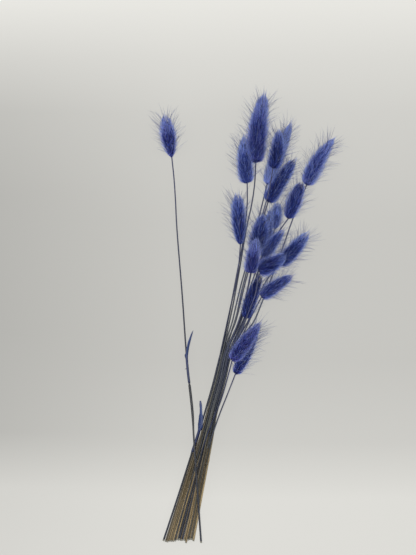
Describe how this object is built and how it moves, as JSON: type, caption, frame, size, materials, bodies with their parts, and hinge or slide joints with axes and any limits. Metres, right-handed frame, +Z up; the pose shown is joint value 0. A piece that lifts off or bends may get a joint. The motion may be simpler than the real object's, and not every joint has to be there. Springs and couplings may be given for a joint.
{
  "type": "dried bunny tail grass",
  "caption": "Loose bunch of dyed blue dried grass stems with soft oval furry heads, lying flat with the cut ends together.",
  "frame": {"origin": "on the surface the bunch lies on, under the middle of its box", "axes": "+Y along the bunch from the cut ends to the heads, +Z up from the surface, +X to the side that most heads lean to"},
  "size_m": [0.1694, 0.4088, 0.0298],
  "materials": {
    "fur": "soft matt fur, dyed deep blue",
    "stem": "dry straw, dyed dark blue grey",
    "leaf": "dry ribbed leaf, dyed dark blue"
  },
  "bodies": {
    "root": {"head_01": "fur", "head_02": "fur", "head_03": "fur", "head_04": "fur", "head_05": "fur", "head_06": "fur", "head_07": "fur", "head_08": "fur", "head_09": "fur", "head_10": "fur", "head_11": "fur", "head_12": "fur", "head_13": "fur", "head_14": "fur", "head_15": "fur", "head_16": "fur", "head_17": "fur", "head_18": "fur", "head_19": "fur", "head_20": "fur", "stem_01": "stem", "stem_02": "stem", "stem_03": "stem", "stem_04": "stem", "stem_05": "stem", "stem_06": "stem", "stem_07": "stem", "stem_08": "stem", "stem_09": "stem", "stem_10": "stem", "stem_11": "stem", "stem_12": "stem", "stem_13": "stem", "stem_14": "stem", "stem_15": "stem", "stem_16": "stem", "stem_17": "stem", "stem_18": "stem", "stem_19": "stem", "stem_20": "stem", "leaf_01": "leaf", "leaf_02": "leaf"}
  },
  "joints": []
}
